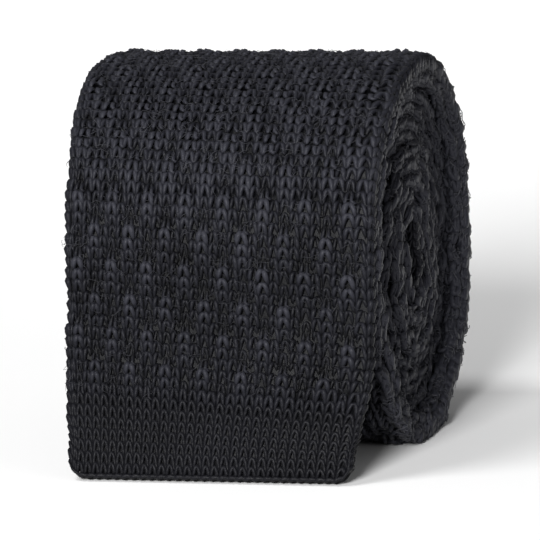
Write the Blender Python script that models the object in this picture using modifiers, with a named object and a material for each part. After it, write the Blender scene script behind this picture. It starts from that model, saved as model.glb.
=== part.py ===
"""A knitted necktie with a square end, rolled up from its narrow tail and standing on the roll.

The tie is one flattened knitted tube. Its centreline is a single path, which starts at the square end
in front of the roll, climbs the front, passes over the top and winds inwards to the tail. Each piece
of fabric is a stretch of that path. Metres, +Z up, the roll's axis along X, the free end on the -Y side,
and the origin on the flat foot of the roll, half way along its width.
"""

import math

import bmesh
import bpy
from mathutils import Vector

# The tie
BLADE_WIDTH = 0.0600
NECK_WIDTH = 0.0540
TAIL_WIDTH = 0.0570
END_BAND_WIDTH = 0.0564
END_BAND_LENGTH = 0.0130
FABRIC_THICKNESS = 0.00245
BLADE_LENGTH = 0.620
NECK_LENGTH = 0.330
TAPER_LENGTH = 0.240
HEM_THREAD_DIAMETER = 0.0009

# The roll
ROLL_HEIGHT = 0.0740
ROLL_DEPTH = 0.0746
PITCH_ACROSS = 0.00305
PITCH_UP = 0.00275
OUTER_SLACK = 0.0009
SLACK_FULL_UNTIL = 215.0
FOOT_START = 260.0
FOOT_END = 280.0
STEPS_PER_TURN = 30
TURNS_INSIDE_FOOT = 9.9

# The free end in front of the roll
FREE_END_LEAN = 0.0080
FREE_END_LEAN_POWER = 1.6
FREE_END_STEPS = 8
FREE_END_CLEARANCE = 0.0004

# What is sewn to the back of the blade
MAKER_LABEL_SIZE = (0.0340, 0.0240)
CARE_LABEL_SIZE = (0.0150, 0.0100)
LABEL_THICKNESS = 0.00035
KEEPER_SIZE = (0.0500, 0.0080)
KEEPER_THICKNESS = 0.0007
STITCH_WIDTH = 0.0006
STITCH_THICKNESS = 0.00025
STITCH_INSET = 0.0010
MAKER_LABEL_PLACE = 0.1270
KEEPER_PLACE = 0.1600

# Clearance between pieces that touch, and between sewn pieces that lie flat on each other
GAP = 0.0003
SEWN_GAP = 0.00015

# Turns of the hinges' outer skin, beyond the fabric's outer face
HINGE_SKIN = 0.00015

TURN = 360.0
FOOT_SPAN = FOOT_END - FOOT_START
HALF_THICKNESS = FABRIC_THICKNESS / 2
FOOT_CHORD = math.cos(math.radians(FOOT_SPAN / 2))
FOOT_RADIUS_UP = (ROLL_HEIGHT - FABRIC_THICKNESS - PITCH_UP / 2 - OUTER_SLACK) / (1 + FOOT_CHORD)
FOOT_RADIUS_ACROSS = (ROLL_DEPTH - FABRIC_THICKNESS - PITCH_ACROSS - 2 * OUTER_SLACK) / 2
AXIS_HEIGHT = FOOT_RADIUS_UP * FOOT_CHORD + HALF_THICKNESS
STEP = (TURN - FOOT_SPAN) / STEPS_PER_TURN


# ---------------------------------------------------------------- the path of the fabric


def smooth(share):
    """An S-curve from 0 to 1 as share goes from 0 to 1."""
    share = min(max(share, 0.0), 1.0)
    return share * share * (3 - 2 * share)


def turns_inside_foot(angle):
    """Turns wound inwards from the flat foot. The count holds still while the fabric crosses the foot."""
    whole, rest = divmod(angle - FOOT_END, TURN)
    return whole + min(rest / (TURN - FOOT_SPAN), 1.0)


def outer_slack(angle):
    """The extra room under the outermost turn, which closes as that turn reaches the foot."""
    return OUTER_SLACK * smooth((FOOT_START - angle) / (FOOT_START - SLACK_FULL_UNTIL))


def roll_point(angle):
    """Centreline of the roll. Angle 0 faces the front, 90 is the top, 180 the back, 270 the foot."""
    wound = turns_inside_foot(angle)
    across = FOOT_RADIUS_ACROSS - PITCH_ACROSS * wound + outer_slack(angle)
    up = FOOT_RADIUS_UP - PITCH_UP * wound + outer_slack(angle)
    turned = math.radians(angle)
    return Vector((0, -across * math.cos(turned), AXIS_HEIGHT + up * math.sin(turned)))


def roll_angles():
    """Every angle at which the roll has a vertex: even steps round each turn, then one chord over the foot."""
    angles = []
    turn_start = FOOT_END - TURN
    last = FOOT_END + TURNS_INSIDE_FOOT * TURN
    while turn_start < last:
        angles += [turn_start + STEP * step for step in range(STEPS_PER_TURN + 1)]
        turn_start += TURN
    return [angle for angle in angles if -STEP / 2 < angle < last]


def fabric_path():
    """The centreline from the square end, up the front, over the top and inwards to the tail."""
    roll = [roll_point(angle) for angle in roll_angles()]
    top = roll[0]
    foot = FREE_END_CLEARANCE + HEM_THREAD_DIAMETER + GAP
    free_end = []
    for step in range(FREE_END_STEPS):
        share = 1 - step / FREE_END_STEPS
        forward = FREE_END_LEAN * share**FREE_END_LEAN_POWER
        free_end.append(Vector((0, top.y - forward, top.z + (foot - top.z) * share)))
    return free_end + roll


PATH = fabric_path()
DISTANCES = [0.0]
for before, after in zip(PATH, PATH[1:]):
    DISTANCES.append(DISTANCES[-1] + (after - before).length)
FABRIC_LENGTH = DISTANCES[-1]


def facet_at(distance):
    """The number of the straight facet that holds this distance along the fabric."""
    for number, end in enumerate(DISTANCES[1:]):
        if distance <= end:
            return number
    return len(DISTANCES) - 2


def point_at(distance):
    number = facet_at(distance)
    start, end = PATH[number], PATH[number + 1]
    share = (distance - DISTANCES[number]) / (DISTANCES[number + 1] - DISTANCES[number])
    return start + (end - start) * share


def facet_normal(number):
    """Points away from the roll's axis."""
    run = (PATH[number + 1] - PATH[number]).normalized()
    return Vector((0, -run.z, run.y))


def middle_of_facet(distance):
    """The middle of the facet nearest to this distance, where a cut has parallel faces on both its sides."""
    number = facet_at(distance)
    return (DISTANCES[number] + DISTANCES[number + 1]) / 2


def distance_of(angle):
    """Distance along the fabric of the middle of the facet nearest to an angle of the roll."""
    target = roll_point(angle)
    middles = [(a + b) / 2 for a, b in zip(PATH, PATH[1:])]
    number = min(range(len(middles)), key=lambda item: (middles[item] - target).length)
    return (DISTANCES[number] + DISTANCES[number + 1]) / 2


def stretch_of_path(start, end, inwards=0.0):
    """The path between two distances, moved towards the roll's axis by a distance of its own."""
    inside = [number for number, place in enumerate(DISTANCES) if start < place < end]
    points = [point_at(start) - facet_normal(facet_at(start)) * inwards]
    for number in inside:
        before, after = facet_normal(number - 1), facet_normal(min(number, len(PATH) - 2))
        mean = (before + after).normalized()
        points.append(PATH[number] - mean * (inwards / mean.dot(after)))
    points.append(point_at(end) - facet_normal(facet_at(end)) * inwards)
    return points


def fabric_width(distance):
    """The blade's full width, narrowing to the neck and widening a little to the tail."""
    to_neck = smooth((distance - BLADE_LENGTH + TAPER_LENGTH) / TAPER_LENGTH)
    to_tail = smooth((distance - BLADE_LENGTH - NECK_LENGTH) / TAPER_LENGTH)
    return BLADE_WIDTH + (NECK_WIDTH - BLADE_WIDTH) * to_neck + (TAIL_WIDTH - NECK_WIDTH) * to_tail


# ---------------------------------------------------------------- scene, materials and makers

for leftover in list(bpy.data.objects):
    bpy.data.objects.remove(leftover)

TIE = bpy.data.collections.new("necktie")
bpy.context.scene.collection.children.link(TIE)


def material(name, colour, roughness):
    made = bpy.data.materials.new(name)
    made.use_nodes = True
    shader = made.node_tree.nodes["Principled BSDF"]
    shader.inputs["Base Color"].default_value = (*colour, 1)
    shader.inputs["Roughness"].default_value = roughness
    shader.inputs["Metallic"].default_value = 0
    return made


KNIT = (0.026, 0.026, 0.031)
PLAIN_KNIT = (0.020, 0.020, 0.024)
THREAD = (0.016, 0.016, 0.019)
SATIN = (0.012, 0.012, 0.015)
PALE_SATIN = (0.62, 0.61, 0.58)


def sheet_piece(name, points, widths, thickness, colour, roughness, x=0.0, pivot=None):
    """A strip of cloth: an open surface along the points, with Solidify to give it its thickness."""
    pivot = pivot or Vector((0, 0, 0))
    mesh = bpy.data.meshes.new(name)
    form = bmesh.new()
    left = [form.verts.new(p - pivot + Vector((x - w / 2, 0, 0))) for p, w in zip(points, widths)]
    right = [form.verts.new(p - pivot + Vector((x + w / 2, 0, 0))) for p, w in zip(points, widths)]
    for number in range(len(points) - 1):
        form.faces.new((left[number], right[number], right[number + 1], left[number + 1]))
    form.to_mesh(mesh)
    form.free()
    piece = bpy.data.objects.new(name, mesh)
    piece.location = pivot
    piece.data.materials.append(material(name, colour, roughness))
    TIE.objects.link(piece)
    wall = piece.modifiers.new("wall", "SOLIDIFY")
    wall.thickness = thickness
    wall.offset = 0
    wall.use_even_offset = True
    return piece


def knitted_piece(name, start, end, colour=KNIT, width=None, pivot=None):
    """A stretch of the tie between two cuts, half a gap short at each of them."""
    start, end = start + GAP / 2, end - GAP / 2
    points = stretch_of_path(start, end)
    places = [start, *[place for place in DISTANCES if start < place < end], end]
    widths = [width or fabric_width(place) for place in places]
    return sheet_piece(name, points, widths, FABRIC_THICKNESS, colour, 0.85, pivot=pivot)


def hem_thread(name, end_point, outwards, width, pivot=None):
    """The linking thread that closes an end of the tube, as a round bar past the last course."""
    pivot = pivot or Vector((0, 0, 0))
    centre = end_point + outwards * (GAP / 2 + HEM_THREAD_DIAMETER / 2) - pivot
    curve = bpy.data.curves.new(name, "CURVE")
    curve.dimensions = "3D"
    curve.bevel_depth = HEM_THREAD_DIAMETER / 2
    curve.bevel_resolution = 2
    curve.use_fill_caps = True
    line = curve.splines.new("POLY")
    line.points.add(1)
    for point, side in zip(line.points, (-1, 1)):
        point.co = (side * width / 2, centre.y, centre.z, 1)
    piece = bpy.data.objects.new(name, curve)
    piece.location = pivot
    piece.data.materials.append(material(name, THREAD, 0.7))
    TIE.objects.link(piece)
    return piece


def sewn_piece(name, size, place, depth, thickness, colour, x=0.0):
    """A flat piece on the blade's back: size is across and along the blade, depth its clearance from it."""
    across, along = size
    inwards = HALF_THICKNESS + depth + thickness / 2
    points = stretch_of_path(place - along / 2, place + along / 2, inwards)
    return sheet_piece(name, points, [across] * len(points), thickness, colour, 0.6, x=x)


# ---------------------------------------------------------------- where the fabric bends and changes

TOP_HINGE = distance_of(95.0)
FRONT_HINGE = distance_of(50.0)
FREE_END_HINGE = distance_of(5.0)
OUTER_WRAP_END = distance_of(320.0)
NECK_START = middle_of_facet(BLADE_LENGTH)
TAIL_START = middle_of_facet(BLADE_LENGTH + NECK_LENGTH)
TAIL_BAND_START = FABRIC_LENGTH - END_BAND_LENGTH


def hinge_point(distance):
    """On the fabric's outer face, so that the cut opens on the side that faces the roll."""
    return point_at(distance) + facet_normal(facet_at(distance)) * (HALF_THICKNESS + HINGE_SKIN)


top_pivot = hinge_point(TOP_HINGE)
front_pivot = hinge_point(FRONT_HINGE)
free_end_pivot = hinge_point(FREE_END_HINGE)


# ---------------------------------------------------------------- the roll, which stays still

knitted_piece("blade_outer_wrap", TOP_HINGE, OUTER_WRAP_END)
knitted_piece("blade_rolled", OUTER_WRAP_END, NECK_START)
knitted_piece("neck_rolled", NECK_START, TAIL_START)
knitted_piece("tail_rolled", TAIL_START, TAIL_BAND_START)
knitted_piece("tail_end_band", TAIL_BAND_START, FABRIC_LENGTH, PLAIN_KNIT)
tail_run = (PATH[-1] - PATH[-2]).normalized()
hem_thread("tail_end_hem", PATH[-1], tail_run, TAIL_WIDTH)


# ---------------------------------------------------------------- the free front of the blade

knitted_piece("blade_top_wrap", FRONT_HINGE, TOP_HINGE, pivot=top_pivot)
knitted_piece("blade_front_wrap", FREE_END_HINGE, FRONT_HINGE, pivot=front_pivot)
knitted_piece("blade_front_fall", END_BAND_LENGTH, FREE_END_HINGE, pivot=free_end_pivot)
knitted_piece("blade_end_band", 0, END_BAND_LENGTH, PLAIN_KNIT, END_BAND_WIDTH, free_end_pivot)
end_run = (PATH[0] - PATH[1]).normalized()
hem_thread("blade_end_hem", PATH[0], end_run, END_BAND_WIDTH, free_end_pivot)


# ---------------------------------------------------------------- sewn to the blade's back

sewn_piece("maker_label", MAKER_LABEL_SIZE, MAKER_LABEL_PLACE, SEWN_GAP, LABEL_THICKNESS, SATIN)
CARE_LABEL_PLACE = MAKER_LABEL_PLACE - (MAKER_LABEL_SIZE[1] + CARE_LABEL_SIZE[1]) / 2 - GAP
sewn_piece("care_label", CARE_LABEL_SIZE, CARE_LABEL_PLACE, SEWN_GAP, LABEL_THICKNESS, PALE_SATIN)
sewn_piece("keeper_loop", KEEPER_SIZE, KEEPER_PLACE, SEWN_GAP, KEEPER_THICKNESS, SATIN)

SEWN = (
    ("label_stitch", MAKER_LABEL_SIZE, MAKER_LABEL_PLACE, LABEL_THICKNESS),
    ("keeper_tack", KEEPER_SIZE, KEEPER_PLACE, KEEPER_THICKNESS),
)
for sewn_name, sewn_size, sewn_place, sewn_thickness in SEWN:
    stitch_size = (STITCH_WIDTH, sewn_size[1] - 2 * STITCH_INSET)
    stitch_depth = 2 * SEWN_GAP + sewn_thickness
    for side_name, side in (("left", -1), ("right", 1)):
        stitch_x = side * (sewn_size[0] / 2 - STITCH_INSET)
        stitch_name = f"{sewn_name}_{side_name}"
        sewn_piece(stitch_name, stitch_size, sewn_place, stitch_depth, STITCH_THICKNESS, THREAD, stitch_x)
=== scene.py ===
"""A dark knitted necktie, rolled up from its narrow tail, with its square end hanging free in front."""

import math

import bpy
import numpy as np
from mathutils import Matrix, Vector


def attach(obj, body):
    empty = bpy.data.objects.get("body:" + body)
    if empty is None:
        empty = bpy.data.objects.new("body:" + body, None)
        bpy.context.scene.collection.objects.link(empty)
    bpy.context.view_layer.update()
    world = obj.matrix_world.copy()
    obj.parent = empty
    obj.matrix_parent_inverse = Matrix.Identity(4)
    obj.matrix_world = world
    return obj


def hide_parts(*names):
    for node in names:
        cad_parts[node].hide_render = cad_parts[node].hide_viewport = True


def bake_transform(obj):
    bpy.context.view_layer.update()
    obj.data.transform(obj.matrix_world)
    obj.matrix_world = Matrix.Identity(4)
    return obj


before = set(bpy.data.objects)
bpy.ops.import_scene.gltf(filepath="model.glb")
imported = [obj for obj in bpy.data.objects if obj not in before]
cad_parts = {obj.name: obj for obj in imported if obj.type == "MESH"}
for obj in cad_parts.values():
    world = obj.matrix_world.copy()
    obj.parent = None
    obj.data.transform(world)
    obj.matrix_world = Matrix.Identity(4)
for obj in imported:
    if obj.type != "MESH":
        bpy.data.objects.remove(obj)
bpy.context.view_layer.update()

bpy.ops.object.select_all(action="DESELECT")

# ---------------------------------------------------------------- table, lamps and camera
# A plain white table lit by one broad lamp low in front, with weak lamps above, beside and behind it.
# The roll is seen from its right front, a little from above, through a long lens.

camera_azimuth = math.radians(15.57)
camera_elevation = math.radians(10.33)
camera_tilt = math.radians(-2.21)
camera_distance = 1.28
lens_length = 443.9
roll_middle = Vector((0, 0, 0.037))
aim_below_middle = 0.00486

back = Vector((
    math.sin(camera_azimuth) * math.cos(camera_elevation),
    -math.cos(camera_azimuth) * math.cos(camera_elevation),
    math.sin(camera_elevation),
))
level_right = Vector((math.cos(camera_azimuth), math.sin(camera_azimuth), 0))
level_up = back.cross(level_right)
camera_right = level_right * math.cos(camera_tilt) + level_up * math.sin(camera_tilt)
camera_up = level_up * math.cos(camera_tilt) - level_right * math.sin(camera_tilt)

camera = bpy.data.objects.new("camera", bpy.data.cameras.new("camera"))
camera.data.lens = lens_length
camera.data.clip_start = 0.05
camera.data.clip_end = 20
camera.matrix_world = (
    Matrix.Translation(roll_middle - camera_up * aim_below_middle + back * camera_distance)
    @ Matrix((camera_right, camera_up, back)).transposed().to_4x4()
)
bpy.context.scene.collection.objects.link(camera)
bpy.context.scene.camera = camera
bpy.context.scene.view_settings.view_transform = "Standard"

bpy.ops.mesh.primitive_plane_add(size=8, location=(0, 0, 0))
table = bpy.context.object
table.name = "table"
table_white = bpy.data.materials.new("table_white")
table_white.use_nodes = True
table_white.node_tree.nodes["Principled BSDF"].inputs["Base Color"].default_value = (0.9, 0.9, 0.9, 1)
table_white.node_tree.nodes["Principled BSDF"].inputs["Roughness"].default_value = 0.8
table_white.node_tree.nodes["Principled BSDF"].inputs["Specular IOR Level"].default_value = 0.1
table.data.materials.append(table_white)

# The last lamp looks away from the tie, at the far part of the table.
for lamp_name, lamp_place, lamp_aim, lamp_size, lamp_power in (
    ("key_lamp", (-0.02, -2.78, 1.10), (0, 0, 0.037), 1.00, 146),
    ("top_lamp", (-0.50, -0.35, 1.25), (0, 0, 0.037), 0.50, 8),
    ("side_lamp", (1.15, -0.75, 0.30), (0, 0, 0.037), 0.60, 2.5),
    ("table_lamp", (-0.10, 0.60, 0.80), (-0.10, 1.60, 0), 0.70, 6),
):
    bpy.ops.object.light_add(type="AREA", location=lamp_place)
    lamp = bpy.context.object
    lamp.name = lamp_name
    lamp.data.shape = "DISK"
    lamp.data.size = lamp_size
    lamp.data.energy = lamp_power
    lamp.rotation_euler = (Vector(lamp_place) - Vector(lamp_aim)).to_track_quat("Z", "Y").to_euler()

room = bpy.data.worlds.new("white_room")
room.use_nodes = True
room.node_tree.nodes["Background"].inputs["Color"].default_value = (1, 1, 1, 1)
room.node_tree.nodes["Background"].inputs["Strength"].default_value = 0.15
bpy.context.scene.world = room
bpy.ops.object.select_all(action="DESELECT")

# ---------------------------------------------------------------- ground of the knitted tube
# The tie is one flat tube of silk yarn, knitted in the round and pressed, 60 mm wide at the blade.
# Its two layers are the dark ground that the stitches stand on, rolled from the tail outwards.
# The tube is made here in lengths, and the lengths round the peeling turns only have their transforms
# applied.

BLADE_WIDTH = 0.0600
NECK_WIDTH = 0.0540
TAIL_WIDTH = 0.0570
SQUARE_END_WIDTH = 0.0556
SQUARE_END_SHIFT = -0.0008
SQUARE_END_LENGTH = 0.0240
CORNER_RADIUS = 0.0034
BLADE_LENGTH = 0.620
NECK_LENGTH = 0.330
TAPER_LENGTH = 0.240
TIE_LENGTH = 1.4464

FABRIC_THICKNESS = 0.00245
ROLL_HEIGHT = 0.0740
ROLL_DEPTH = 0.0746
PITCH_ACROSS = 0.00305
PITCH_UP = 0.00275
OUTER_SLACK = 0.0009
SLACK_FULL_UNTIL = 215
FOOT_START = 260
FOOT_END = 280
TURNS_INSIDE_FOOT = 9.9
TURN_SWEEP = 360 - FOOT_END + FOOT_START
ANGLE_STEP = 2.5
FREE_END_LEAN = 0.0080
FREE_END_LEAN_POWER = 1.6
FREE_END_FOOT = 0.0016
HEM_DROP = 0.0013
SHOULDER_FULLNESS = 0.036
FULL_SHOULDER_TURNS = 4
FREE_END_STEPS = 40

FOOT_CHORD = math.cos(math.radians((FOOT_END - FOOT_START) / 2))
FOOT_RADIUS_UP = (ROLL_HEIGHT - FABRIC_THICKNESS - PITCH_UP / 2 - OUTER_SLACK) / (1 + FOOT_CHORD)
FOOT_RADIUS_ACROSS = (ROLL_DEPTH - FABRIC_THICKNESS - PITCH_ACROSS - 2 * OUTER_SLACK) / 2
AXIS_HEIGHT = FOOT_RADIUS_UP * FOOT_CHORD + FABRIC_THICKNESS / 2


def smooth(share):
    """Ease from 0 to 1."""
    share = np.clip(share, 0, 1)
    return share * share * (3 - 2 * share)


def roll_line(angle):
    """The fabric's middle in side view: angle 0 faces the front, 90 the top, 180 the back, 270 the foot."""
    past_foot = angle - FOOT_END
    wound = np.floor(past_foot / 360) + np.minimum(past_foot % 360 / TURN_SWEEP, 1)
    slack = OUTER_SLACK * smooth((FOOT_START - angle) / (FOOT_START - SLACK_FULL_UNTIL))
    turned = np.radians(angle)
    above_axis = (np.sin(turned) > 0) * (angle < 360 * FULL_SHOULDER_TURNS)
    shoulder = 1 + SHOULDER_FULLNESS * np.sin(2 * turned) ** 2 * above_axis
    across = (FOOT_RADIUS_ACROSS - PITCH_ACROSS * wound + slack) * shoulder
    up = (FOOT_RADIUS_UP - PITCH_UP * wound + slack) * shoulder
    return np.stack((-across * np.cos(turned), AXIS_HEIGHT + up * np.sin(turned)), axis=1)


turn_starts = FOOT_END + 360 * np.arange(-1, 10)
roll_angles = np.concatenate([start + np.arange(0, TURN_SWEEP + 1, ANGLE_STEP) for start in turn_starts])
roll_angles = roll_angles[(roll_angles >= 0) & (roll_angles < FOOT_END + 360 * TURNS_INSIDE_FOOT)]
rolled_line = roll_line(roll_angles)
full_drop = 1 + HEM_DROP / (rolled_line[0, 1] - FREE_END_FOOT)
share = np.concatenate(([full_drop], np.linspace(1, 0, FREE_END_STEPS + 1)[:-1]))
free_line = np.stack((
    rolled_line[0, 0] - FREE_END_LEAN * share**FREE_END_LEAN_POWER,
    rolled_line[0, 1] + (FREE_END_FOOT - rolled_line[0, 1]) * share,
), axis=1)
line = np.concatenate((free_line, rolled_line))
line_distance = np.concatenate(([0], np.cumsum(np.linalg.norm(np.diff(line, axis=0), axis=1))))
line_distance -= line_distance[1]
line_distance[1:] *= TIE_LENGTH / line_distance[-1]
line_run = np.gradient(line, line_distance, axis=0)


def path_place(distance):
    """Points (y, z) of the fabric's middle at distances from the square end, and which way is outwards."""
    distance = np.clip(distance, line_distance[0], TIE_LENGTH)
    y, z = (np.interp(distance, line_distance, line[:, axis]) for axis in (0, 1))
    run_y, run_z = (np.interp(distance, line_distance, line_run[:, axis]) for axis in (0, 1))
    long = np.hypot(run_y, run_z)
    return y, z, -run_z / long, run_y / long


# The edges of the tube are soft folds that waver a little. The outer turn's waver less and are thicker,
# both flare where the front turns over on to the top, and the right one spreads down the back.
FACE_HALF_WIDTH = 0.0288
FOLD_RADIUS = 0.00075
FOLD_ARC = math.pi * FOLD_RADIUS
FOLD_SQUARENESS = 0.24
OUTER_EDGE_SWELL = 0.0018
EDGE_SOFT_WIDTH = 0.0060
EDGE_FLARE, FLARE_PLACE, FLARE_REACH = 0.0013, 0.083, 0.018
RIGHT_SPREAD, SPREAD_FROM, SPREAD_UNTIL = 0.0009, 0.100, 0.200
OUTER_WAVER, OUTER_WAVER_UNTIL = 0.30, 0.150
SWELL_FULL_AT, SWELL_UNTIL = 0.060, 0.190
CORNER_ROUNDNESS = 0.96
CORNER_EASE = 0.010
waver_seed = np.random.RandomState(11)
wavers = [
    [(length, size, waver_seed.uniform(0, 2 * math.pi)) for length, size in (
        (0.0052, 0.00014), (0.0083, 0.00022), (0.0137, 0.00026), (0.0310, 0.00022),
        (0.0810, 0.00022), (0.1430, 0.00024),
    )]
    for side in (0, 1)
]


def edge_waver(distance, side):
    """How far an edge stands out beyond the straight line at distances along the tie."""
    out = sum(
        size * np.sin(2 * math.pi * distance / length + start) for length, size, start in wavers[side]
    )
    calm = OUTER_WAVER + (1 - OUTER_WAVER) * smooth((distance - OUTER_WAVER_UNTIL) / 0.100)
    flare = EDGE_FLARE * np.exp(-(((distance - FLARE_PLACE) / FLARE_REACH) ** 2))
    spread = 0
    if side:
        spread = RIGHT_SPREAD * smooth((distance - SPREAD_FROM) / 0.030)
        spread = spread * (1 - smooth((distance - SPREAD_UNTIL) / 0.040))
    return out * calm + flare + spread


def fabric_width(distance):
    to_neck = smooth((distance - BLADE_LENGTH + TAPER_LENGTH) / TAPER_LENGTH)
    to_tail = smooth((distance - BLADE_LENGTH - NECK_LENGTH) / TAPER_LENGTH)
    to_end = 1 - smooth(distance / SQUARE_END_LENGTH)
    full = BLADE_WIDTH + (NECK_WIDTH - BLADE_WIDTH) * to_neck + (TAIL_WIDTH - NECK_WIDTH) * to_tail
    return full + (SQUARE_END_WIDTH - BLADE_WIDTH) * to_end


def on_fabric(around, distance, height):
    """Points of the tie from three flat measures: around the tube from the middle of its outer face,
    along it from the square end, and above the yarns' middle layer."""
    side = np.sign(around) + (around == 0)
    past_face = np.abs(around) - FACE_HALF_WIDTH
    fold = np.clip(past_face / FOLD_RADIUS, 0, math.pi)
    past_fold = np.maximum(past_face - FOLD_ARC, 0)
    reach = (FOLD_RADIUS + height) * (1 + FOLD_SQUARENESS * np.sin(2 * fold) ** 2)
    across = np.where(past_face < 0, np.abs(around), FACE_HALF_WIDTH + reach * np.sin(fold))
    across = across - past_fold
    swell = OUTER_EDGE_SWELL * smooth(distance / SWELL_FULL_AT)
    swell = swell * (1 - smooth((distance - SWELL_UNTIL) / 0.040)) * (1 - smooth(past_fold / 0.004))
    lift = reach * np.cos(fold) - swell * (1 - np.cos(fold)) / 2
    near_edge = smooth((across - FACE_HALF_WIDTH + EDGE_SOFT_WIDTH) / EDGE_SOFT_WIDTH)
    waver = np.where(side > 0, edge_waver(distance, 1), edge_waver(distance, 0))
    to_end = 1 - smooth(distance / SQUARE_END_LENGTH)
    x = side * (across * fabric_width(distance) / BLADE_WIDTH + waver * near_edge) + SQUARE_END_SHIFT * to_end
    into_corner = np.clip((across - FACE_HALF_WIDTH - FOLD_RADIUS + CORNER_RADIUS) / CORNER_RADIUS, 0, 1)
    corner_rise = CORNER_RADIUS * (1 - np.sqrt(1 - CORNER_ROUNDNESS * into_corner**2))
    distance = distance + corner_rise * (1 - smooth(distance / CORNER_EASE))
    y, z, out_y, out_z = path_place(distance)
    # Nothing is pressed below the table.
    return np.stack((x, y + out_y * lift, np.maximum(z + out_z * lift, 0)), axis=-1)


def new_piece(name, points, faces, material):
    """A smooth-shaded mesh object at the origin."""
    mesh = bpy.data.meshes.new(name)
    mesh.from_pydata(points.tolist(), [], faces)
    mesh.polygons.foreach_set("use_smooth", np.ones(len(mesh.polygons), bool))
    mesh.materials.append(material)
    mesh.update()
    piece = bpy.data.objects.new(name, mesh)
    bpy.context.scene.collection.objects.link(piece)
    return piece


def yarn_material(name, dark, middle, light, twist_height, sheen):
    """Dyed yarn: broken tone from stitch to stitch, painted light and shade read from an attribute of the
    mesh, fine fibres, and the twist of its plies along it.
    """
    made = bpy.data.materials.new(name)
    made.use_nodes = True
    nodes, links = made.node_tree.nodes, made.node_tree.links
    shader = nodes["Principled BSDF"]
    place = nodes.new("ShaderNodeTexCoord")
    painted_shading = nodes.new("ShaderNodeAttribute")
    painted_shading.attribute_name = "painted_shading"

    patches = nodes.new("ShaderNodeTexNoise")
    patches.inputs["Scale"].default_value = 420
    patches.inputs["Detail"].default_value = 5
    patches.inputs["Roughness"].default_value = 0.65
    links.new(place.outputs["Object"], patches.inputs["Vector"])
    tones = nodes.new("ShaderNodeValToRGB")
    tones.color_ramp.elements[0].position = 0.18
    tones.color_ramp.elements[0].color = (*dark, 1)
    tones.color_ramp.elements[1].position = 1.0
    tones.color_ramp.elements[1].color = (*light, 1)
    tones.color_ramp.elements.new(0.66).color = (*middle, 1)
    tone_with_shading = nodes.new("ShaderNodeMath")
    tone_with_shading.operation = "MULTIPLY_ADD"
    tone_with_shading.use_clamp = True
    tone_with_shading.inputs[1].default_value = 0.30
    wear = nodes.new("ShaderNodeTexNoise")
    wear.inputs["Scale"].default_value = 75
    wear.inputs["Detail"].default_value = 3
    links.new(place.outputs["Object"], wear.inputs["Vector"])
    uneven = nodes.new("ShaderNodeMapRange")
    uneven.inputs["From Min"].default_value = 0.3
    uneven.inputs["From Max"].default_value = 0.7
    uneven.inputs["To Min"].default_value = -0.10
    uneven.inputs["To Max"].default_value = 0.10
    links.new(wear.outputs["Fac"], uneven.inputs["Value"])
    # Painted light and shade: the mesh attribute makes proud yarn lighter and low yarn darker, and the wear
    # noise adds random unevenness to it.
    shading_with_uneven_tone = nodes.new("ShaderNodeMath")
    shading_with_uneven_tone.operation = "ADD"
    links.new(painted_shading.outputs["Fac"], shading_with_uneven_tone.inputs[0])
    links.new(uneven.outputs["Result"], shading_with_uneven_tone.inputs[1])
    links.new(patches.outputs["Fac"], tone_with_shading.inputs[0])
    links.new(shading_with_uneven_tone.outputs["Value"], tone_with_shading.inputs[2])
    links.new(tone_with_shading.outputs["Value"], tones.inputs["Fac"])
    links.new(tones.outputs["Color"], shader.inputs["Base Color"])

    fibres = nodes.new("ShaderNodeTexNoise")
    fibres.inputs["Scale"].default_value = 5200
    fibres.inputs["Detail"].default_value = 3
    links.new(place.outputs["Object"], fibres.inputs["Vector"])
    gloss = nodes.new("ShaderNodeMapRange")
    gloss.inputs["To Min"].default_value = 0.34
    gloss.inputs["To Max"].default_value = 0.56
    links.new(fibres.outputs["Fac"], gloss.inputs["Value"])
    links.new(gloss.outputs["Result"], shader.inputs["Roughness"])

    along_yarn = nodes.new("ShaderNodeUVMap")
    along_yarn.uv_map = "yarn"
    plies = nodes.new("ShaderNodeTexWave")
    plies.bands_direction = "DIAGONAL"
    plies.inputs["Scale"].default_value = 1.0
    plies.inputs["Distortion"].default_value = 0.8
    links.new(along_yarn.outputs["UV"], plies.inputs["Vector"])
    fibre_bump = nodes.new("ShaderNodeBump")
    fibre_bump.inputs["Strength"].default_value = 0.5
    fibre_bump.inputs["Distance"].default_value = 0.00010
    links.new(fibres.outputs["Fac"], fibre_bump.inputs["Height"])
    ply_bump = nodes.new("ShaderNodeBump")
    ply_bump.inputs["Strength"].default_value = 0.6
    ply_bump.inputs["Distance"].default_value = twist_height
    links.new(plies.outputs["Fac"], ply_bump.inputs["Height"])
    links.new(fibre_bump.outputs["Normal"], ply_bump.inputs["Normal"])
    links.new(ply_bump.outputs["Normal"], shader.inputs["Normal"])
    shader.inputs["Sheen Weight"].default_value = sheen
    shader.inputs["Sheen Roughness"].default_value = 0.45
    shader.inputs["Specular IOR Level"].default_value = 0.10
    return made


ground_yarn = yarn_material(
    "ground_yarn", (0.0020, 0.0021, 0.0027), (0.0035, 0.0036, 0.0047),
    (0.0200, 0.0203, 0.0260), 0.00004, 0.0,
)
GROUND_SINK = 0.00036
GROUND_STEP = 0.0040
GROUND_COLUMNS = 25
# Painted shade: the ground of the face is coloured dark where it lies deep under the stitches. It is also
# dappled lighter and darker at the spacing of the wales and courses.
GROUND_SHADE = 0.20
GROUND_DAPPLE = 0.12
WALES_TURN, COURSES_TURN = 3900, 2920
RIBS_PER_METRE = 200


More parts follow.
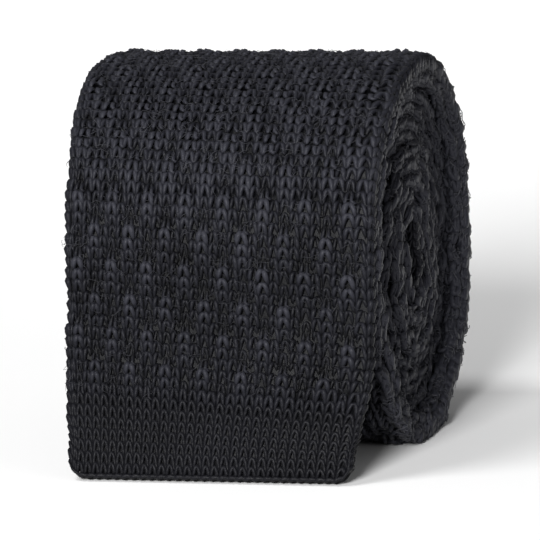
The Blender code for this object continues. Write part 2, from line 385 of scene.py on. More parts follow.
def ground_cloth(name, start, end):
    """A closed length of the flat tube between two distances, just under the yarns."""
    fold_steps = np.linspace(0, FOLD_ARC, 7)[1:-1]
    face = np.linspace(-FACE_HALF_WIDTH, FACE_HALF_WIDTH, GROUND_COLUMNS)
    under = np.linspace(0, 2 * FACE_HALF_WIDTH, GROUND_COLUMNS)
    half = FACE_HALF_WIDTH + FOLD_ARC
    around = np.concatenate((face, FACE_HALF_WIDTH + fold_steps, half + under[:GROUND_COLUMNS // 2 + 1]))
    around_left = -np.concatenate((FACE_HALF_WIDTH + fold_steps, half + under[:GROUND_COLUMNS // 2]))[::-1]
    around = np.concatenate((around_left, around))
    steps = max(2, round((end - start) / GROUND_STEP) + 1)
    distance = np.linspace(start, end, steps)
    grid_around, grid_distance = np.meshgrid(around, distance)
    points = on_fabric(grid_around, grid_distance, np.full(grid_around.shape, -GROUND_SINK)).reshape(-1, 3)
    count = len(around)
    faces = [
        (row * count + spot, row * count + (spot + 1) % count,
         (row + 1) * count + (spot + 1) % count, (row + 1) * count + spot)
        for row in range(steps - 1) for spot in range(count)
    ]
    faces.append(tuple(range(count))[::-1])
    faces.append(tuple(range((steps - 1) * count, steps * count)))
    piece = new_piece(name, points, faces, ground_yarn)
    corner = np.array([item.vertex_index for item in piece.data.loops])
    ribs = np.stack((grid_distance.ravel(), grid_around.ravel()), axis=1)[corner] * RIBS_PER_METRE
    piece.data.uv_layers.new(name="yarn").data.foreach_set("uv", ribs.ravel())
    dapple = np.cos(grid_around * WALES_TURN) * np.cos(grid_distance * COURSES_TURN)
    shade = GROUND_SHADE + GROUND_DAPPLE * dapple
    # Painted light: the ground at the folds and the under face is coloured palest, which lightens the shaded
    # gaps between the turns.
    shade = np.where(np.abs(grid_around) > FACE_HALF_WIDTH, 1.0, shade)
    attribute = piece.data.attributes.new("painted_shading", "FLOAT", "POINT")
    attribute.data.foreach_set("value", shade.ravel().astype(np.float32))
    return piece


LIFT_START, LIFT_END = 0.0430, 0.0220
FALL_END = 0.0532
FRONT_START, FRONT_END = 0.0823, FALL_END
TOP_START, TOP_END = 0.1112, FRONT_START
WRAP_END = 0.2343
BLADE_END = 0.6173
NECK_END = 0.9477
TAIL_BAND_START = 1.4334
SQUARE_BAND = 0.0130


def hold(piece, motion):
    """Rides a piece on one body, or, for a piece between two bodies that a joint joins, only applies its
    transform.
    """
    if isinstance(motion, str):
        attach(piece, motion)
    else:
        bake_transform(piece)


LIFTING = ("front_wrap", "free_end", LIFT_START, LIFT_END)
PEELING_FRONT = ("top_wrap", "front_wrap", FRONT_START, FRONT_END)
PEELING_TOP = ("roll", "top_wrap", TOP_START, TOP_END)

cloths = {}
for cloth_name, start, end, motion, cad_node, cloth_slot in (
    ("end_band_cloth", -0.0006, SQUARE_BAND, "free_end", "blade_end_band", "plain_knit"),
    ("front_fall_cloth", SQUARE_BAND, FALL_END, LIFTING, "blade_front_fall", "tuck_knit"),
    ("front_wrap_cloth", FRONT_END, FRONT_START, PEELING_FRONT, "blade_front_wrap", "tuck_knit"),
    ("top_wrap_cloth", TOP_END, TOP_START, PEELING_TOP, "blade_top_wrap", "tuck_knit"),
    ("outer_wrap_cloth", TOP_START, WRAP_END, "roll", "blade_outer_wrap", "tuck_knit"),
    ("blade_rolled_cloth", WRAP_END, BLADE_END, "roll", "blade_rolled", "tuck_knit"),
    ("neck_rolled_cloth", BLADE_END, NECK_END, "roll", "neck_rolled", "tuck_knit"),
    ("tail_rolled_cloth", NECK_END, TAIL_BAND_START, "roll", "tail_rolled", "tuck_knit"),
    ("tail_band_cloth", TAIL_BAND_START, TIE_LENGTH - 0.0003, "roll", "tail_end_band", "plain_knit"),
):
    cloth = ground_cloth(cloth_name, start, end)
    hold(cloth, motion)
    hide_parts(cad_node)
    cloths[cloth_name] = (cloth, start, end)

# ---------------------------------------------------------------- tuck stitches of the blade, neck and tail
# Each course is one silk yarn, looped wale by wale round the whole tube. On every second wale the loops
# are held and tucked, so that six of them bunch into a raised tuft under the feet of a long one,
# and the tufts of neighbouring raised wales stand half way between each other.

COURSE = 0.00215
YARN_RADIUS = 0.00044
FACE_WALES = 31
FOLD_WALES = 2
TUFT_COURSES = 6
HALF_TUFT = TUFT_COURSES // 2
LOOP_STEPS = 8
YARN_SIDES = 5
YARN_TWIST = 0.0011
WAVE_PERIOD = 0.2 * math.pi
SKEW_FULL = 0.062
SKEW_LEFT = 0.030
SKEW_EASES_FROM, SKEW_EASE = 0.028, 0.035
# The wales of the face grow a little wider from left to right.
FIRST_WALE, WALE_STEP, WALE_GROWTH = 0.00118, 0.00161, 0.0000088
MIDDLE_WALE_WIDTH = 0.0019
wale_number = np.arange(FACE_WALES)
wale_centre = FIRST_WALE + WALE_STEP * wale_number + WALE_GROWTH * wale_number**2 - BLADE_WIDTH / 2
wale_edge = np.concatenate(([-FACE_HALF_WIDTH], (wale_centre[:-1] + wale_centre[1:]) / 2, [FACE_HALF_WIDTH]))
face_around = (wale_edge[:-1] + wale_edge[1:]) / 2
face_wide = np.diff(wale_edge)
fold_wide = FOLD_ARC / FOLD_WALES
fold_around = FACE_HALF_WIDTH + fold_wide * (np.arange(FOLD_WALES) + 0.5)
UNDER_WALES = 31
under_wide = 2 * FACE_HALF_WIDTH / UNDER_WALES
under_around = FACE_HALF_WIDTH + FOLD_ARC + under_wide * (np.arange(UNDER_WALES) + 0.5)

# Wales in order round the tube: place, width, and number (odd numbers are the raised wales).
right_side = [(place, fold_wide, FACE_WALES + n) for n, place in enumerate(fold_around)]
left_side = [(-place, fold_wide, -1 - n) for n, place in enumerate(fold_around)]
face_side = list(zip(face_around, face_wide, wale_number))
half_tube = FACE_HALF_WIDTH + FOLD_ARC
full_around = 2 * half_tube + 2 * FACE_HALF_WIDTH
under_right = [
    (place, under_wide, FACE_WALES + FOLD_WALES + n) for n, place in enumerate(under_around)
    if place < full_around / 2
]
under_left = [
    (place - full_around, under_wide, FACE_WALES + FOLD_WALES + n) for n, place in enumerate(under_around)
    if place >= full_around / 2
]
all_wales = np.array(under_left + left_side[::-1] + face_side + right_side + under_right)
outer_wales = np.array(under_left[-3:] + left_side[::-1] + face_side + right_side + under_right[:3])
right_fold_wales = np.array(face_side[-1:] + right_side + under_right[:2])
left_fold_wales = np.array(under_left[-2:] + left_side[::-1] + face_side[:1])

# Loops from the tuft's first, brightest one down to the long one above the next tuft:
# spread, arch height, leg length in wales and courses, thickness, and how proud five places of a leg stand.
TUFT_LOOPS = np.array([
    (0.46, 0.40, 0.98, 1.22, 0.16, 0.38, 0.42, 0.26, -0.10),
    (0.42, 0.42, 1.02, 1.14, 0.06, 0.26, 0.26, 0.10, -0.22),
    (0.38, 0.44, 1.04, 1.04, -0.04, 0.10, 0.06, -0.08, -0.32),
    (0.34, 0.42, 1.04, 0.96, -0.18, -0.06, -0.12, -0.24, -0.40),
    (0.29, 0.30, 1.00, 0.88, -0.12, -0.08, -0.12, -0.18, -0.26),
    (0.27, 0.60, 1.06, 1.02, -0.62, -0.60, -0.52, -0.20, 0.36),
])
# Over the top of the roll the feet stand out further than the arches, and the spread is even.
TOP_LOOPS = np.array([
    (0.40, 0.34, 0.80, 1.16, -1.00, -0.86, -0.30, 0.34, 0.60),
    (0.40, 0.36, 0.82, 1.16, -0.95, -0.74, -0.16, 0.36, 0.56),
    (0.39, 0.40, 0.86, 1.16, -0.30, -0.14, 0.02, 0.16, 0.16),
    (0.39, 0.40, 0.86, 1.12, 0.00, 0.06, 0.00, -0.12, -0.20),
    (0.39, 0.38, 0.84, 1.10, 0.04, 0.06, -0.06, -0.20, -0.30),
    (0.38, 0.44, 0.90, 1.12, -0.30, -0.20, -0.06, 0.14, 0.34),
])
TOP_BETWEEN_LOOP = np.array((0.39, 0.40, 0.86, 1.16, -0.06, 0.04, 0.06, 0.08, 0.10))
TOP_PLACE = 0.045
TOP_EASE = 0.020
BETWEEN_LOOP = np.array((0.37, 0.52, 1.22, 0.98, -0.42, -0.12, 0.02, -0.06, -0.34))
FOLD_LOOP = np.array((0.40, 0.60, 1.50, 1.14, 0.00, 0.10, 0.12, 0.04, -0.08))
TUFT_RELIEF = (0.06, 0.32, 0.24, 0.09, -0.03, -0.15, -0.22, 0.06)
TUFT_RELIEF_AT = (0.0, 0.5, 1.4, 2.4, 3.4, 4.5, 5.4, 6.0)
HOLLOW_DEPTH = 0.72
HOLLOW_LENGTH, HOLLOW_ABOVE, HOLLOW_REACH = 0.75, 0.15, 0.62
BETWEEN_FILL = 0.24
ROUGH_FOLD_FROM = 0.105
# Painted light on the side folds: their yarn is coloured paler, with its light and shade evened out.
EDGE_PAINTED_LIGHT = 1.10
EDGE_SHADING_CONTRAST = 0.28
EDGE_LIGHT_WIDTH, EDGE_LIGHT_EASE = 0.0006, 0.020
# Painted shade low on the hanging front, and painted light over the top of the roll.
FALL_PAINTED_SHADE = 0.74
TOP_PAINTED_LIGHT = 1.08
PAINTED_LIGHT_RISES_FROM, PAINTED_LIGHT_RISE = 0.020, 0.045
FOLD_FUZZ = 0.14
TOP_CALM = 0.95
UNDER_CALM = 0.5
# Painted light and shade: yarn is coloured from dark at the lower height to light at the upper one.
FULL_SHADING = 0.85
SHADING_LOW_HEIGHT = -0.00040
SHADING_HIGH_HEIGHT = 0.00090

tuck_yarn = yarn_material(
    "tuck_yarn", (0.0007, 0.0007, 0.0011), (0.0086, 0.0088, 0.0120),
    (0.0205, 0.0209, 0.0270), 0.00005, 0.01,
)


def across_of(around):
    """The signed place across the tie of a place around the tube."""
    past_face = np.abs(around) - FACE_HALF_WIDTH
    past_fold = np.maximum(past_face - FOLD_ARC, 0)
    return np.sign(around) * (np.minimum(np.abs(around), FACE_HALF_WIDTH) - past_fold)


def course_distance(course, around):
    """Distance along the tie of a course of the tuck knit, which runs a little downhill to the right."""
    level = SQUARE_BAND + COURSE * course
    skew = SKEW_FULL - (SKEW_FULL - SKEW_LEFT) * smooth((level - SKEW_EASES_FROM) / SKEW_EASE)
    return level - skew * across_of(around)


def knit_yarns(name, paths, radii, material, closed):
    """Tubes of yarn along rows of points in the flat fabric, laid on the rolled tie, with painted light and
    shade stored on their points.
    """
    rows, long = paths.shape[:2]
    if closed:
        run = np.roll(paths, -1, axis=1) - np.roll(paths, 1, axis=1)
        run[..., 0] = (run[..., 0] + full_around / 2) % full_around - full_around / 2
    else:
        run = np.gradient(paths, axis=1)
    run /= np.linalg.norm(run, axis=2, keepdims=True)
    sideways = np.cross(run, (0.0, 0.0, 1.0))
    sideways /= np.linalg.norm(sideways, axis=2, keepdims=True) + 1e-12
    outwards = np.cross(sideways, run)
    turn = 2 * math.pi * np.arange(YARN_SIDES) / YARN_SIDES
    ring = (
        paths[:, :, None, :]
        + radii[:, :, None, None] * (
            np.cos(turn)[None, None, :, None] * sideways[:, :, None, :]
            + np.sin(turn)[None, None, :, None] * outwards[:, :, None, :]
        )
    )
    points = on_fabric(ring[..., 0].ravel(), ring[..., 1].ravel(), ring[..., 2].ravel())

    spot = np.arange(rows * long * YARN_SIDES).reshape(rows, long, YARN_SIDES)
    after = np.roll(spot, -1, axis=1) if closed else spot[:, 1:]
    here = spot if closed else spot[:, :-1]
    faces = np.stack((here, after, np.roll(after, -1, axis=2), np.roll(here, -1, axis=2)), axis=-1)
    links_per_row = faces.shape[1]
    faces = faces.reshape(-1, 4).tolist()
    caps = [] if closed else [
        ring_end for row in spot for ring_end in (row[0].tolist(), row[-1][::-1].tolist())
    ]
    piece = new_piece(name, points, faces + caps, material)

    step = np.diff(paths, axis=1, append=paths[:, :1])
    step[..., 0] = (step[..., 0] + full_around / 2) % full_around - full_around / 2
    step = np.linalg.norm(step, axis=2)
    travelled = np.concatenate((np.zeros((rows, 1)), np.cumsum(step, axis=1)), axis=1)
    turns_along = travelled / YARN_TWIST * WAVE_PERIOD
    first, second = turns_along[:, :links_per_row], turns_along[:, 1:links_per_row + 1]
    round_yarn = np.arange(YARN_SIDES + 1) / YARN_SIDES * WAVE_PERIOD
    uv = np.zeros((rows, links_per_row, YARN_SIDES, 4, 2))
    uv[..., 0, 0] = uv[..., 3, 0] = first[:, :, None]
    uv[..., 1, 0] = uv[..., 2, 0] = second[:, :, None]
    uv[..., 0, 1] = uv[..., 1, 1] = round_yarn[:-1]
    uv[..., 2, 1] = uv[..., 3, 1] = round_yarn[1:]
    flat_uv = np.zeros((len(piece.data.loops), 2))
    flat_uv[:uv.size // 2] = uv.reshape(-1, 2)
    piece.data.uv_layers.new(name="yarn").data.foreach_set("uv", flat_uv.ravel())
    # Painted light and shade: each point of a yarn is coloured lighter the higher it stands, so the tops of
    # proud loops read lit and the hollows read shaded.
    painted_shading = FULL_SHADING * (ring[..., 2].ravel() - SHADING_LOW_HEIGHT) / (SHADING_HIGH_HEIGHT - SHADING_LOW_HEIGHT)
    # Painted light: past the start of the rough fold, yarn on the side folds is pulled towards a pale tone
    # with less contrast.
    at_edge = smooth((np.abs(ring[..., 0].ravel()) - FACE_HALF_WIDTH) / EDGE_LIGHT_WIDTH)
    at_edge = at_edge * smooth((ring[..., 1].ravel() - ROUGH_FOLD_FROM) / EDGE_LIGHT_EASE)
    painted_shading = painted_shading + at_edge * (EDGE_SHADING_CONTRAST - 1) * (painted_shading - EDGE_PAINTED_LIGHT)
    # Painted shade and light: colour rises from darker on the hanging front to lighter over the top.
    up_the_front = smooth((ring[..., 1].ravel() - PAINTED_LIGHT_RISES_FROM) / PAINTED_LIGHT_RISE)
    painted_shading = painted_shading * (FALL_PAINTED_SHADE + (TOP_PAINTED_LIGHT - FALL_PAINTED_SHADE) * up_the_front)
    attribute = piece.data.attributes.new("painted_shading", "FLOAT", "POINT")
    attribute.data.foreach_set("value", np.clip(painted_shading, 0, 1).astype(np.float32))
    return piece


# A loop's yarn is fullest half way down each leg and thinnest where it passes to the next loop,
# a little lower and, on the front, deeper than the feet. Beside the plain band all loops stand alike.
LEAF_THIN, LEAF_FULL = 0.86, 1.14
SINKER_DROP, SINKER_DEPTH = 0.10, 0.12
SINKER_THIN, ENDS_THIN = 0.85, 0.92
HEIGHT_UNIT = 0.001
BAND_EASE = 0.0050
BAND_EDGE_PROUD = np.array((0.02, 0.12, 0.10, 0.00, -0.16))

# No two loops are quite alike. Fold loops also lean and stand out unevenly where the fold is rubbed.
SPREAD_VARIES, THICK_VARIES, SLUBS_VARY = 0.07, 0.06, 0.07
LEAN_VARIES, FOLD_LEAN_VARIES = 0.12, 0.25
ACROSS_VARIES, ALONG_VARIES, HEIGHT_VARIES = 0.045, 0.06, 0.09


def loop_bow(way):
    """Where a loop's yarn lies between its feet, from the left foot at -1 to the right one at 1."""
    return 0.78 * np.sin(math.pi / 2 * way) + 0.22 * way


def stitch_rows(courses, wales, closed, seed, restless=1.0):
    """Yarn paths and thicknesses for courses of tuck knit over the wales given."""
    chance = np.random.RandomState(seed)
    around, wide, number = wales.T
    number = number.astype(int)
    rows, count = len(courses), len(wales)
    course = np.asarray(courses)[:, None]
    on_fold = (number < 0) | ((number >= FACE_WALES) & (number < FACE_WALES + FOLD_WALES))
    raised = (number % 2 == 1) & ~on_fold
    tuft_line = np.where(number % 4 == 3, HALF_TUFT, 0)
    phase = (tuft_line[None, :] - 1 - course) % TUFT_COURSES
    place_along = course_distance(course + 0.5, around[None, :])[..., None]
    at_top = smooth((place_along - TOP_PLACE) / TOP_EASE)
    tufted = TUFT_LOOPS[phase] * (1 - at_top) + TOP_LOOPS[phase] * at_top
    between = BETWEEN_LOOP * (1 - at_top) + TOP_BETWEEN_LOOP * at_top
    loops = np.where(raised[None, :, None], tufted, between)
    fold_loops = np.where(place_along > ROUGH_FOLD_FROM, FOLD_LOOP, between)
    loops = np.where(on_fold[None, :, None], fold_loops, loops)
    spread, arch, leg, thick = (loops[..., item] for item in range(4))
    beside_band = 1 - smooth((place_along - SQUARE_BAND) / BAND_EASE)
    proud = loops[..., 4:] * (1 - beside_band) + BAND_EDGE_PROUD * beside_band

    def vary(size):
        return chance.uniform(-size, size, (rows, count)) * restless

    spread = spread * (1 + vary(SPREAD_VARIES))
    thick = thick * (1 + vary(THICK_VARIES))
    rough_fold = on_fold[None, :] & (place_along[..., 0] > ROUGH_FOLD_FROM)
    lean = vary(LEAN_VARIES) + np.where(rough_fold, vary(FOLD_LEAN_VARIES), 0)
    shift_wale = vary(ACROSS_VARIES)
    shift_course = vary(ALONG_VARIES)
    shift_height = vary(HEIGHT_VARIES) + np.where(rough_fold, vary(FOLD_FUZZ), 0)

    way = np.linspace(-1, 1, LOOP_STEPS + 1)
    along_leg = np.abs(way)
    side = spread[..., None] * loop_bow(way) + shift_wale[..., None]
    up = arch[..., None] - leg[..., None] * along_leg**2.0 + lean[..., None] * side + shift_course[..., None]
    slot_low = np.minimum((along_leg * 4).astype(int), 3)
    part = along_leg * 4 - slot_low
    height = proud[..., slot_low] * (1 - part) + proud[..., slot_low + 1] * part
    height = height + shift_height[..., None]

    tuft_way = (tuft_line[None, :, None] - (course[..., None] + 0.5 + up)) % TUFT_COURSES
    relief = np.interp(tuft_way, TUFT_RELIEF_AT, TUFT_RELIEF)
    calm = (1 - (1 - TOP_CALM) * at_top) * (1 - beside_band)
    calm = np.where(number[None, :, None] >= FACE_WALES + FOLD_WALES, UNDER_CALM, calm)
    height = height + np.where(raised[None, :, None], calm * relief * np.cos(side * 1.6) ** 2, 0)
    for neighbour in (-1, 1):
        line = np.where((number + neighbour) % 4 == 3, HALF_TUFT, 0)
        off_line = course[..., None] + 0.5 + up - line[None, :, None] - HOLLOW_ABOVE
        off_line = (off_line + HALF_TUFT) % TUFT_COURSES - HALF_TUFT
        near_side = smooth(side * neighbour + HOLLOW_REACH)
        hollow = HOLLOW_DEPTH * np.exp(-((off_line / HOLLOW_LENGTH) ** 2)) * near_side
        filled = BETWEEN_FILL * np.exp(-((np.abs(off_line) - HALF_TUFT) ** 2)) * near_side
        height = height + np.where((raised | on_fold)[None, :, None], 0, calm * (filled - hollow))

    # The sinker passes behind, from the foot of one loop to the foot of the next.
    sinker_side = np.full((rows, count, 1), 0.5)
    sinker_up = up[..., -1:] - SINKER_DROP
    sinker_height = height[..., -1:] - SINKER_DEPTH * (1 - at_top)
    side = np.concatenate((side, sinker_side), axis=2)
    up = np.concatenate((up, sinker_up), axis=2)
    height = np.concatenate((height, sinker_height), axis=2)
    leaf = LEAF_THIN + (LEAF_FULL - LEAF_THIN) * np.sin(math.pi * along_leg)
    leaf = np.append(leaf, LEAF_THIN)
    slubs = 1 + chance.uniform(-SLUBS_VARY, SLUBS_VARY, (rows, count, LOOP_STEPS + 2)) * restless
    radius = thick[..., None] * leaf * slubs
    radius[..., -1] *= SINKER_THIN
    radius[..., 0] *= ENDS_THIN
    radius[..., -2] *= ENDS_THIN

    flat_around = around[None, :, None] + side * wide[None, :, None]
    flat_along = course_distance(course[..., None] + 0.5, flat_around) + up * COURSE
    paths = np.stack((flat_around, flat_along, height * HEIGHT_UNIT), axis=-1).reshape(rows, -1, 3)
    wide_wale = np.sqrt(wide / MIDDLE_WALE_WIDTH)[None, :, None] ** 0.5
    radii = (radius * YARN_RADIUS * wide_wale).reshape(rows, -1)
    if not closed:
        paths, radii = paths[:, :-1], radii[:, :-1]
    return paths, radii


def course_at(distance):
    return (distance - SQUARE_BAND) / COURSE - 0.5


def courses_between(start, end):
    return np.arange(math.ceil(course_at(start)), math.ceil(course_at(end)))


# Whole courses are knitted for the turns that show. Further in only the side folds are, and roughly.
SHOULDER_END = 0.1380
BACK_END = 0.1730
SECOND_FRONT_END = 0.2950
SECOND_TOP_END = 0.3500
OUTER_RESTLESS, INNER_RESTLESS = 1.4, 2.6
knitting = {}
for stitch_name, start, end, wales, motion, cloth_name, seed in (
    ("front_fall_stitches", SQUARE_BAND, FALL_END, all_wales, LIFTING, "front_fall_cloth", 21),
    ("front_wrap_stitches", FRONT_END, FRONT_START, all_wales, PEELING_FRONT, "front_wrap_cloth", 22),
    ("top_wrap_stitches", TOP_END, TOP_START, all_wales, PEELING_TOP, "top_wrap_cloth", 23),
    ("shoulder_wrap_stitches", TOP_START, SHOULDER_END, all_wales, "roll", "outer_wrap_cloth", 34),
    ("back_wrap_stitches", SHOULDER_END, BACK_END, outer_wales, "roll", "outer_wrap_cloth", 24),
    ("foot_wrap_stitches", BACK_END, WRAP_END, outer_wales, "roll", "outer_wrap_cloth", 25),
    ("second_front_stitches", WRAP_END, SECOND_FRONT_END, outer_wales, "roll", "blade_rolled_cloth", 26),
    ("second_top_stitches", SECOND_FRONT_END, SECOND_TOP_END, outer_wales, "roll",
     "blade_rolled_cloth", 27),
    ("blade_right_edge_stitches", SECOND_TOP_END, BLADE_END, right_fold_wales, "roll",
     "blade_rolled_cloth", 28),
    ("blade_left_edge_stitches", SECOND_TOP_END, BLADE_END, left_fold_wales, "roll",
     "blade_rolled_cloth", 29),
    ("neck_right_edge_stitches", BLADE_END, NECK_END, right_fold_wales, "roll", "neck_rolled_cloth", 30),
    ("neck_left_edge_stitches", BLADE_END, NECK_END, left_fold_wales, "roll", "neck_rolled_cloth", 31),
    ("tail_right_edge_stitches", NECK_END, TAIL_BAND_START, right_fold_wales, "roll",
     "tail_rolled_cloth", 32),
    ("tail_left_edge_stitches", NECK_END, TAIL_BAND_START, left_fold_wales, "roll", "tail_rolled_cloth", 33),
):
    closed = wales is all_wales
    restless = OUTER_RESTLESS if end <= SECOND_TOP_END else INNER_RESTLESS
    paths, radii = stitch_rows(courses_between(start, end), wales, closed, seed, restless)
    piece = knit_yarns(stitch_name, paths, radii, tuck_yarn, closed)
    hold(piece, motion)
    knitting.setdefault(cloth_name, []).append(piece)

# ---------------------------------------------------------------- plain bands and hems of the two ends
# Both ends of the tube finish in seven courses of plain knit, their loops nearly alike.
# The last loops are linked off with one slightly thicker thread, which closes the tube.

PLAIN_COURSES = 7
HEM_PLACE = -0.0008
LOWEST_LOOP = 0.0004
PLAIN_THINNESS = 0.97
plain_yarn = yarn_material(
    "plain_yarn", (0.0026, 0.0026, 0.0034), (0.0052, 0.0053, 0.0072),
    (0.0105, 0.0107, 0.0138), 0.00005, 0.01,
)
PLAIN_LOOP = (0.37, 0.54, 1.28, 1.0, 0.10, 0.13, 0.04, -0.12, -0.32)


def plain_rows(band_start, band_end, top_skew, seed):
    """Yarn paths and thicknesses of the plain courses between two distances along the tie."""
    chance = np.random.RandomState(seed)
    around, wide, _ = all_wales.T
    count = len(around)
    way = np.linspace(-1, 1, LOOP_STEPS + 1)
    along_leg = np.abs(way)
    paths, radii = [], []
    for course in range(PLAIN_COURSES):
        height = np.interp(along_leg, np.linspace(0, 1, 5), PLAIN_LOOP[4:])
        side = PLAIN_LOOP[0] * loop_bow(way)
        up = PLAIN_LOOP[1] - PLAIN_LOOP[2] * along_leg**2.0
        side, up, height = (np.tile(item, (count, 1)) for item in (side, up, height))
        side = side + chance.uniform(-0.04, 0.04, (count, 1))
        up = up + chance.uniform(-0.05, 0.05, (count, 1))
        height = height + chance.uniform(-0.03, 0.03, (count, 1))
        side = np.concatenate((side, np.full((count, 1), 0.5)), axis=1)
        up = np.concatenate((up, up[:, -1:] - SINKER_DROP), axis=1)
        height = np.concatenate((height, height[:, -1:] - SINKER_DEPTH), axis=1)
        flat_around = around[:, None] + side * wide[:, None]
        last = band_end - top_skew * across_of(flat_around)
        tall = (last - band_start) / PLAIN_COURSES
        along = band_start + tall * (course + 0.5 + up)
        if band_start < 0:
            along = np.maximum(along, band_start + LOWEST_LOOP)
        paths.append(np.stack((flat_around, along, height * HEIGHT_UNIT), axis=-1).reshape(-1, 3))
        radii.append(np.full(count * (LOOP_STEPS + 2), YARN_RADIUS * PLAIN_THINNESS))
    return np.array(paths), np.array(radii)


paths, radii = plain_rows(HEM_PLACE, SQUARE_BAND, SKEW_FULL, 41)
end_band = knit_yarns("end_band_stitches", paths, radii, plain_yarn, True)
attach(end_band, "free_end")
knitting["end_band_cloth"] = [end_band]

paths, radii = plain_rows(TAIL_BAND_START, TIE_LENGTH - 0.0004, 0, 42)
tail_band = knit_yarns("tail_band_stitches", paths, radii, plain_yarn, True)
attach(tail_band, "roll")
knitting["tail_band_cloth"] = [tail_band]

HEM_RADIUS = 0.00045
HEM_SPOTS, SPOTS_PER_WAVE = 260, 4
HEM_WAVE_ALONG, HEM_WAVE_UP = 0.00012, 0.00010
for hem_name, place, body, cad_node in (
    ("end_hem_thread", HEM_PLACE, "free_end", "blade_end_hem"),
    ("tail_hem_thread", TIE_LENGTH - 0.00035, "roll", "tail_end_hem"),
):
    around = np.linspace(-full_around / 2, full_around / 2, HEM_SPOTS, endpoint=False)
    wave = np.arange(HEM_SPOTS) * 2 * math.pi / SPOTS_PER_WAVE
    hem_along = place + HEM_WAVE_ALONG * np.sin(wave)
    hem_path = np.stack((around, hem_along, HEM_WAVE_UP * np.cos(wave)), axis=-1)[None]
    hem = knit_yarns(hem_name, hem_path, np.full((1, HEM_SPOTS), HEM_RADIUS), plain_yarn, True)
    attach(hem, body)
    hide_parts(cad_node)

# ---------------------------------------------------------------- loose fibres
# Fine broken fibres of the same dyed silk stand off a knitted tie, thickest on the rubbed side folds.
# They are short curled hairs still caught in the stitches, paler than the yarn for being so thin.

FACE_FIBRE_RADIUS = 0.000030
EDGE_FIBRE_RADIUS = 0.000055
FIBRE_STEPS = 6
FIBRE_SHORTEST, FIBRE_LONGEST = 0.0016, 0.0044
FIBRE_LOWEST, FIBRE_HIGHEST = 0.00030, 0.00075
FIBRE_BOW = 0.00022
FIBRE_CURL = 0.75
loose_fibres = yarn_material(
    "loose_fibres", (0.012, 0.0123, 0.0150), (0.022, 0.0224, 0.0270),
    (0.046, 0.0465, 0.0540), 0.00001, 0.01,
)
for fuzz_name, count, around_from, around_to, start, end, motion, cloth_name, seed in (
    ("right_edge_fuzz", 1700, FACE_HALF_WIDTH, FACE_HALF_WIDTH + FOLD_ARC, 0.1150, 1.36,
     "roll", "blade_rolled_cloth", 51),
    ("left_edge_fuzz", 1700, -FACE_HALF_WIDTH - FOLD_ARC, -FACE_HALF_WIDTH, 0.1150, 1.36,
     "roll", "blade_rolled_cloth", 52),
    ("front_fall_fuzz", 420, -FACE_HALF_WIDTH, FACE_HALF_WIDTH, 0.0150, 0.0510,
     LIFTING, "front_fall_cloth", 53),
    ("front_wrap_fuzz", 420, -FACE_HALF_WIDTH, FACE_HALF_WIDTH, 0.0550, 0.0800,
     PEELING_FRONT, "front_wrap_cloth", 54),
    ("top_wrap_fuzz", 320, -FACE_HALF_WIDTH, FACE_HALF_WIDTH, 0.0840, 0.1090,
     PEELING_TOP, "top_wrap_cloth", 55),
):
    chance = np.random.RandomState(seed)
    long = chance.uniform(FIBRE_SHORTEST, FIBRE_LONGEST, (count, 1)) / FIBRE_STEPS
    heading = chance.uniform(0, 2 * math.pi, (count, 1))
    heading = heading + np.cumsum(chance.normal(0, FIBRE_CURL, (count, FIBRE_STEPS)), axis=1)
    first_around = chance.uniform(around_from, around_to, (count, 1))
    around = np.cumsum(np.concatenate((first_around, long * np.cos(heading)), axis=1), axis=1)
    first_along = chance.uniform(start, end, (count, 1))
    along = np.cumsum(np.concatenate((first_along, long * np.sin(heading)), axis=1), axis=1)
    standing_off = chance.uniform(FIBRE_LOWEST, FIBRE_HIGHEST, (count, 1))
    standing_off = standing_off + FIBRE_BOW * np.sin(heading[:, :1] + np.arange(FIBRE_STEPS + 1))
    hairs = np.stack((around, along, standing_off), axis=-1)
    fibre_radius = EDGE_FIBRE_RADIUS if motion == "roll" else FACE_FIBRE_RADIUS
    fuzz = knit_yarns(fuzz_name, hairs, np.full(hairs.shape[:2], fibre_radius), loose_fibres, False)
    hold(fuzz, motion)
    knitting[cloth_name].append(fuzz)

# ---------------------------------------------------------------- labels on the back of the blade
# A woven maker's label and a keeper loop for the tail, both of dark satin, are sewn to the under face
# of the blade. A small pale care label lies just below the maker's. All three are blank, and they
# are hidden inside the outer turn.

LABEL_DEPTH = 0.0018
LABEL_HALF_THICKNESS = 0.00012
MAKER_PLACE, CARE_PLACE, KEEPER_PLACE = 0.1270, 0.1097, 0.1600


def satin_material(name, warp_colour, weft_colour, threads_per_metre):
    """Woven satin: long bright floats one way, crossed at regular steps by the other yarn."""
    made = bpy.data.materials.new(name)
    made.use_nodes = True
    nodes, links = made.node_tree.nodes, made.node_tree.links
    shader = nodes["Principled BSDF"]
    cloth_place = nodes.new("ShaderNodeUVMap")
    cloth_place.uv_map = "weave"
    floats = nodes.new("ShaderNodeTexBrick")
    floats.offset = 0.4
    floats.inputs["Scale"].default_value = threads_per_metre
    floats.inputs["Color1"].default_value = (*warp_colour, 1)
    floats.inputs["Color2"].default_value = (*[0.8 * part for part in warp_colour], 1)
    floats.inputs["Mortar"].default_value = (*weft_colour, 1)
    floats.inputs["Mortar Size"].default_value = 0.06
    floats.inputs["Brick Width"].default_value = 2.0
    floats.inputs["Row Height"].default_value = 0.5
    links.new(cloth_place.outputs["UV"], floats.inputs["Vector"])
    links.new(floats.outputs["Color"], shader.inputs["Base Color"])
    raised = nodes.new("ShaderNodeBump")
    raised.inputs["Strength"].default_value = 0.5
    raised.inputs["Distance"].default_value = 0.00005
    raised.invert = True
    links.new(floats.outputs["Fac"], raised.inputs["Height"])
    links.new(raised.outputs["Normal"], shader.inputs["Normal"])
    shader.inputs["Roughness"].default_value = 0.38
    shader.inputs["Sheen Weight"].default_value = 0.15
    return made


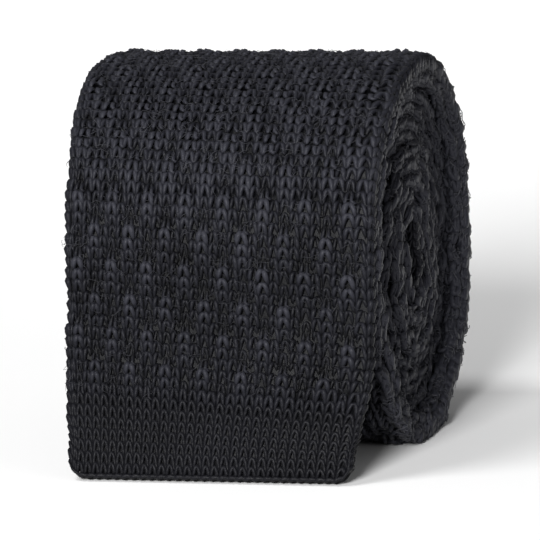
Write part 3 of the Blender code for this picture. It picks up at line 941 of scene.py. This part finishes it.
def sewn_strip(name, wide, place, long, material):
    """A thin closed strip that follows the under face of the fabric."""
    columns, rows = 9, 13
    across = np.linspace(-wide / 2, wide / 2, columns)
    along = np.linspace(place - long / 2, place + long / 2, rows)
    points = []
    for side in (-1, 1):
        y, z, out_y, out_z = path_place(along)
        inwards = LABEL_DEPTH + side * LABEL_HALF_THICKNESS
        for row in range(rows):
            points += [
                (spot, y[row] - out_y[row] * inwards, z[row] - out_z[row] * inwards) for spot in across
            ]
    layer = rows * columns
    faces = []
    for row in range(rows - 1):
        for column in range(columns - 1):
            here = row * columns + column
            ring = (here, here + 1, here + 1 + columns, here + columns)
            faces.append(ring)
            faces.append(tuple(layer + spot for spot in ring[::-1]))
    rim = (
        list(range(columns)) + [row * columns + columns - 1 for row in range(1, rows)]
        + [(rows - 1) * columns + column for column in range(columns - 2, -1, -1)]
        + [row * columns for row in range(rows - 2, 0, -1)]
    )
    for here, after in zip(rim, rim[1:] + rim[:1]):
        faces.append((after, here, here + layer, after + layer))
    strip = new_piece(name, np.array(points), faces, material)
    weave = strip.data.uv_layers.new(name="weave")
    for loop in strip.data.loops:
        spot = loop.vertex_index % layer
        weave.data[loop.index].uv = (across[spot % columns], along[spot // columns])
    return strip


label_satin = satin_material("label_satin", (0.012, 0.013, 0.018), (0.004, 0.004, 0.006), 2600)
care_satin = satin_material("care_satin", (0.42, 0.42, 0.41), (0.30, 0.30, 0.29), 2200)
for label_name, cad_node, wide, place, long, satin, label_slot, motion in (
    ("maker_label_satin", "maker_label", 0.0340, MAKER_PLACE, 0.0240, label_satin, "label_satin", "roll"),
    ("care_label_satin", "care_label", 0.0150, CARE_PLACE, 0.0100, care_satin,
     "care_label_satin", PEELING_TOP),
    ("keeper_loop_satin", "keeper_loop", 0.0500, KEEPER_PLACE, 0.0080, label_satin, "label_satin", "roll"),
):
    label = sewn_strip(label_name, wide, place, long, satin)
    hold(label, motion)
    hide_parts(cad_node)

# Each side of the maker's label and each end of the keeper is held by one row of small slanting stitches.
sewing_thread = yarn_material(
    "sewing_thread", (0.003, 0.003, 0.005), (0.006, 0.006, 0.009), (0.012, 0.012, 0.016), 0.00002, 0.02,
)
THREAD_RADIUS = 0.00014
STITCH_LENGTH, STITCH_HALF_WIDTH, STITCH_HALF_HEIGHT = 0.0012, 0.0005, 0.00028
for row_name, cad_node, x, place, long in (
    ("label_stitches_left", "label_stitch_left", -0.0160, MAKER_PLACE, 0.0220),
    ("label_stitches_right", "label_stitch_right", 0.0160, MAKER_PLACE, 0.0220),
    ("keeper_tack_stitches_left", "keeper_tack_left", -0.0240, KEEPER_PLACE, 0.0060),
    ("keeper_tack_stitches_right", "keeper_tack_right", 0.0240, KEEPER_PLACE, 0.0060),
):
    turns = round(long / STITCH_LENGTH)
    way = np.linspace(0, 2 * math.pi * turns, turns * 8 + 1)
    thread_path = np.stack((
        np.sign(x) * (half_tube + FACE_HALF_WIDTH - abs(x)) + STITCH_HALF_WIDTH * np.cos(way),
        place - long / 2 + long * way / way[-1],
        LABEL_DEPTH - FOLD_RADIUS + STITCH_HALF_HEIGHT * np.sin(way),
    ), axis=-1)[None]
    thread_radii = np.full(thread_path.shape[:2], THREAD_RADIUS)
    thread = knit_yarns(row_name, thread_path, thread_radii, sewing_thread, False)
    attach(thread, "roll")
    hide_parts(cad_node)

# Each length of the tube is one folded sheet, with its stitches and loose fibres on it.
for cloth_name, (cloth, start, end) in cloths.items():
    middle = (start + end) / 2
    wide = float(fabric_width(np.array([middle]))[0])
